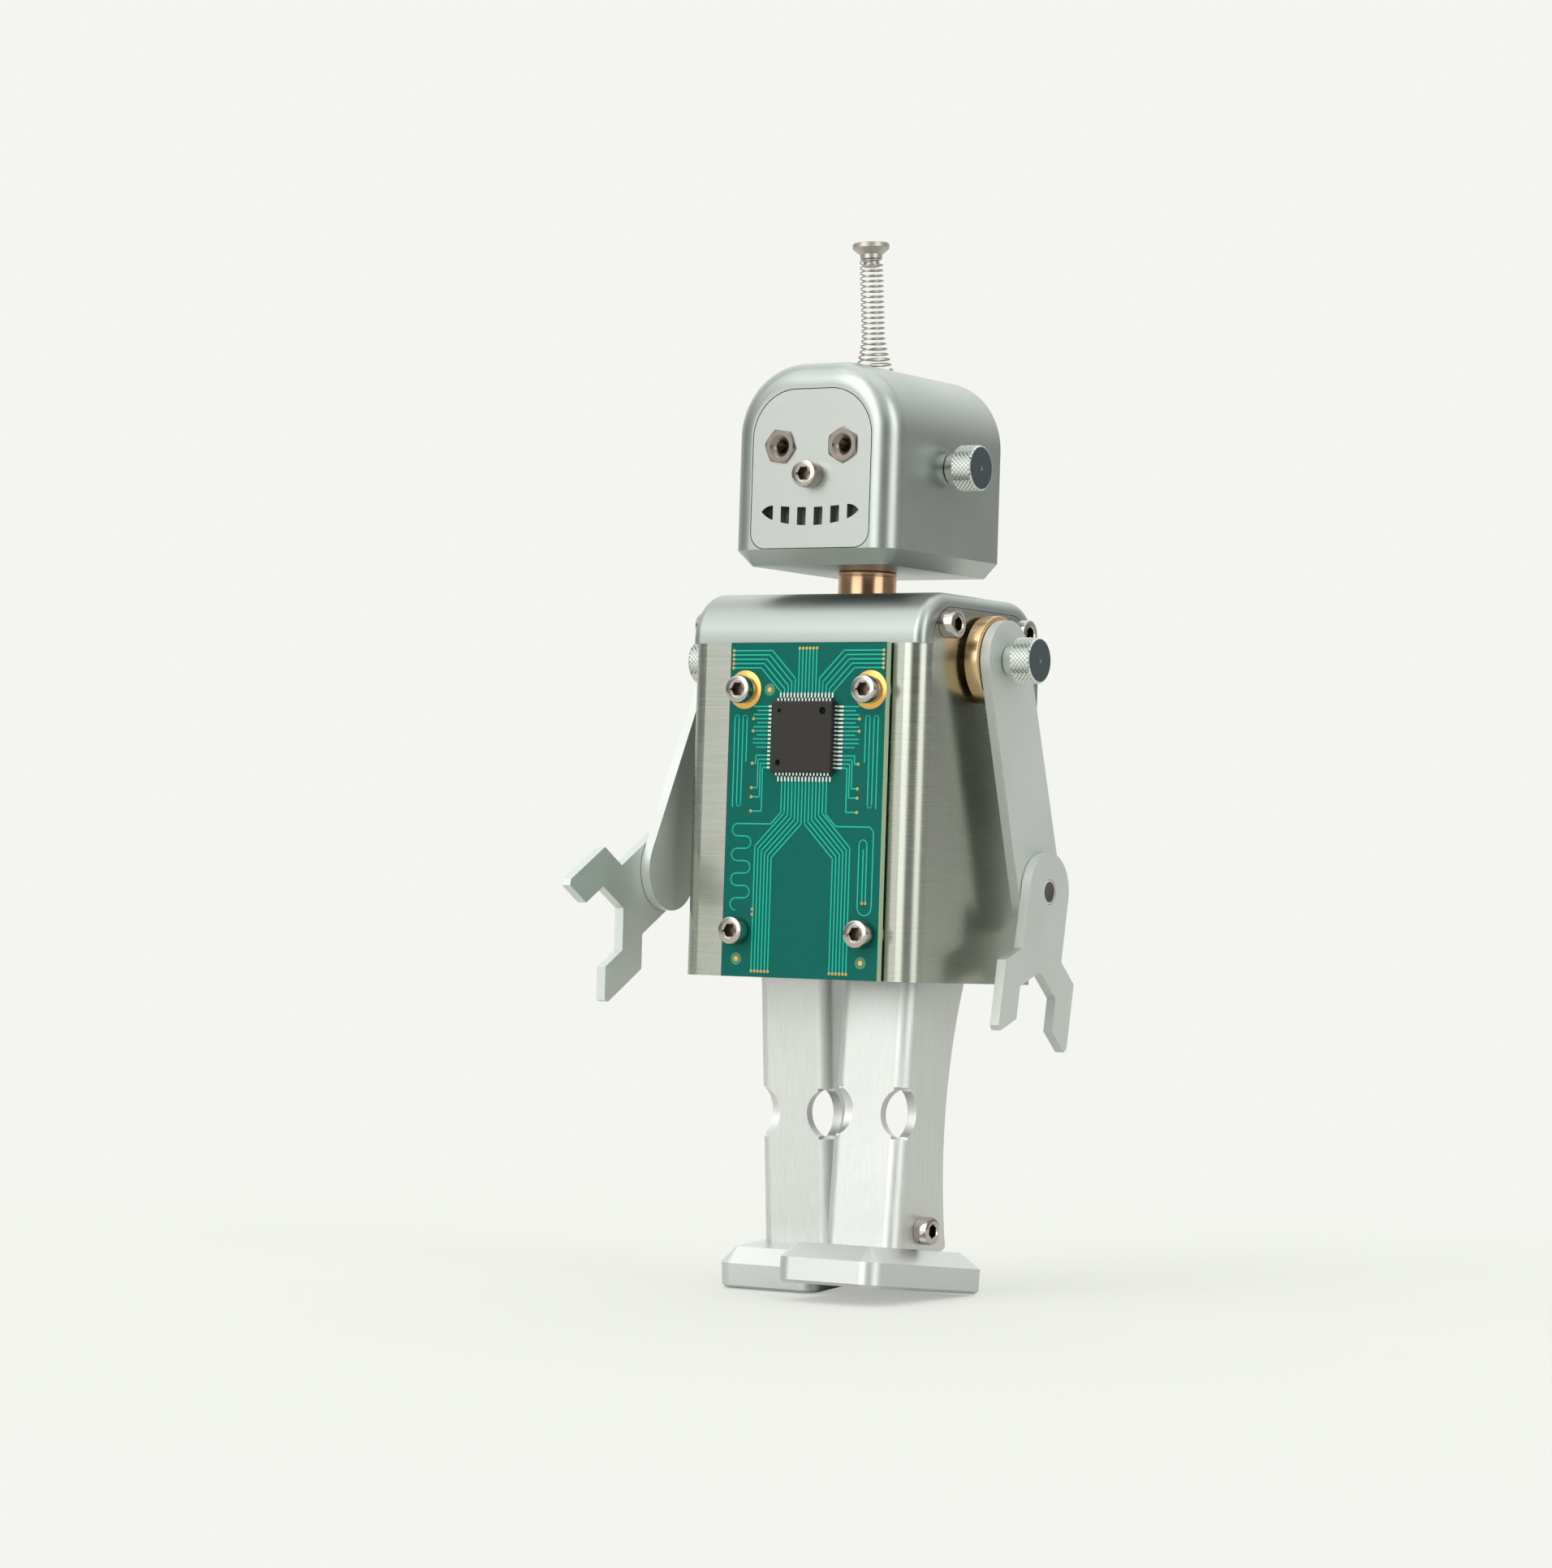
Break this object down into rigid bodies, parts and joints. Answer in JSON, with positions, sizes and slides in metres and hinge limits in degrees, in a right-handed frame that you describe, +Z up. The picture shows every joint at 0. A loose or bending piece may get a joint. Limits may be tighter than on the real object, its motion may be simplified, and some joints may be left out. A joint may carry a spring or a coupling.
{
  "type": "self balancing robot",
  "caption": "Desktop metal robot figure: hinged arms with open-jaw hands, turning head with a spring antenna, circuit-board chest, and two swinging legs on chamfered feet.",
  "frame": {"origin": "centre of the bounding box's bottom, on the surface the feet stand on", "axes": "+Z up; the face looks towards -Y; the robot's left side is +X"},
  "size_m": [0.08, 0.0794, 0.2098],
  "materials": {
    "brushed_stainless": "horizontal brushing",
    "satin_aluminium": "satin",
    "head_aluminium": "satin",
    "leg_aluminium": "fine upright brushing",
    "foot_aluminium": "satin",
    "blasted_aluminium": "fine bead blast",
    "face_steel": "horizontal brushing",
    "bronze": "turned",
    "copper": "turned",
    "screw_steel": "polished",
    "knob_steel": "knurled",
    "spring_steel": "drawn",
    "turned_steel": "turned",
    "nickel": "satin",
    "board_green": "solder mask",
    "nylon": "plain",
    "chip_black": "moulded",
    "tinned_lead": "tinned",
    "dark_pin": "blackened steel"
  },
  "bodies": {
    "torso": {"torso_shell": "brushed_stainless", "shoulder_block": "satin_aluminium", "neck_bushing": "bronze", "tab_screws": "screw_steel", "shoulder_nuts": "screw_steel", "circuit_board": "board_green", "board_spacers": "nylon", "board_screws": "screw_steel", "board_nuts": "screw_steel", "chip_body": "chip_black", "chip_leads": "tinned_lead", "hip_hanger": "satin_aluminium", "hip_axle": "screw_steel", "hip_nuts": "screw_steel", "shoulder_ring_left": "bronze", "shoulder_ring_right": "bronze", "shoulder_hub_left": "copper", "shoulder_hub_right": "copper"},
    "head": {"head_housing": "head_aluminium", "neck_pin": "screw_steel", "face_plate": "face_steel", "eye_bushes": "nickel", "nose_screw": "screw_steel", "antenna_foot": "spring_steel"},
    "antenna": {"antenna_spring": "spring_steel", "antenna_cap": "turned_steel"},
    "ear_knob_left": {"ear_knob_left": "knob_steel"},
    "ear_knob_right": {"ear_knob_right": "knob_steel"},
    "arm_left": {"upper_arm_left": "blasted_aluminium", "elbow_pin_left": "dark_pin"},
    "hand_left": {"forearm_hand_left": "blasted_aluminium"},
    "shoulder_knob_left": {"shoulder_knob_left": "knob_steel"},
    "leg_left": {"leg_channel_left": "leg_aluminium", "hip_sleeve_left": "bronze", "foot_left": "foot_aluminium", "ankle_screw_left": "screw_steel"},
    "arm_right": {"upper_arm_right": "blasted_aluminium", "elbow_pin_right": "dark_pin"},
    "hand_right": {"forearm_hand_right": "blasted_aluminium"},
    "shoulder_knob_right": {"shoulder_knob_right": "knob_steel"},
    "leg_right": {"leg_channel_right": "leg_aluminium", "hip_sleeve_right": "bronze", "foot_right": "foot_aluminium", "ankle_screw_right": "screw_steel"}
  },
  "joints": [
    {"name": "neck_turn", "type": "hinge", "parent": "torso", "child": "head", "pos_m": [0, 0.0142, 0.14333], "axis": [0, 0.021, 0.9998], "range_deg": [-90, 90]},
    {"name": "antenna_bend", "type": "hinge", "parent": "head", "child": "antenna", "pos_m": [-0.00049, 0.01521, 0.19161], "axis": [0, 0.9998, -0.021], "range_deg": [-12, 12], "stiffness_Nm_per_rad": 0.01},
    {"name": "shoulder_left", "type": "hinge", "parent": "torso", "child": "arm_left", "pos_m": [0.0321, 0.01433, 0.12562], "axis": [1, 0, 0], "continuous": true},
    {"name": "elbow_left", "type": "hinge", "parent": "arm_left", "child": "hand_left", "pos_m": [0.0342, 0.02838, 0.08024], "axis": [1, 0, 0], "continuous": true},
    {"name": "shoulder_knob_turn_left", "type": "hinge", "parent": "torso", "child": "shoulder_knob_left", "pos_m": [0.0354, 0.01433, 0.12562], "axis": [1, 0, 0], "continuous": true},
    {"name": "ear_knob_turn_left", "type": "hinge", "parent": "head", "child": "ear_knob_left", "pos_m": [0.021, 0.01463, 0.16372], "axis": [1, 0, 0], "continuous": true},
    {"name": "hip_left", "type": "hinge", "parent": "torso", "child": "leg_left", "pos_m": [0.0119, 0.01434, 0.10192], "axis": [1, 0, 0], "range_deg": [-11, 19]},
    {"name": "shoulder_right", "type": "hinge", "parent": "torso", "child": "arm_right", "pos_m": [-0.0321, 0.01433, 0.12562], "axis": [1, 0, 0], "continuous": true},
    {"name": "elbow_right", "type": "hinge", "parent": "arm_right", "child": "hand_right", "pos_m": [-0.0342, -0.00716, 0.08326], "axis": [1, 0, 0], "continuous": true},
    {"name": "shoulder_knob_turn_right", "type": "hinge", "parent": "torso", "child": "shoulder_knob_right", "pos_m": [-0.0354, 0.01433, 0.12562], "axis": [1, 0, 0], "continuous": true},
    {"name": "ear_knob_turn_right", "type": "hinge", "parent": "head", "child": "ear_knob_right", "pos_m": [-0.021, 0.01463, 0.16372], "axis": [1, 0, 0], "continuous": true},
    {"name": "hip_right", "type": "hinge", "parent": "torso", "child": "leg_right", "pos_m": [-0.0119, 0.01434, 0.10192], "axis": [1, 0, 0], "range_deg": [-20.2, 9.8]}
  ]
}
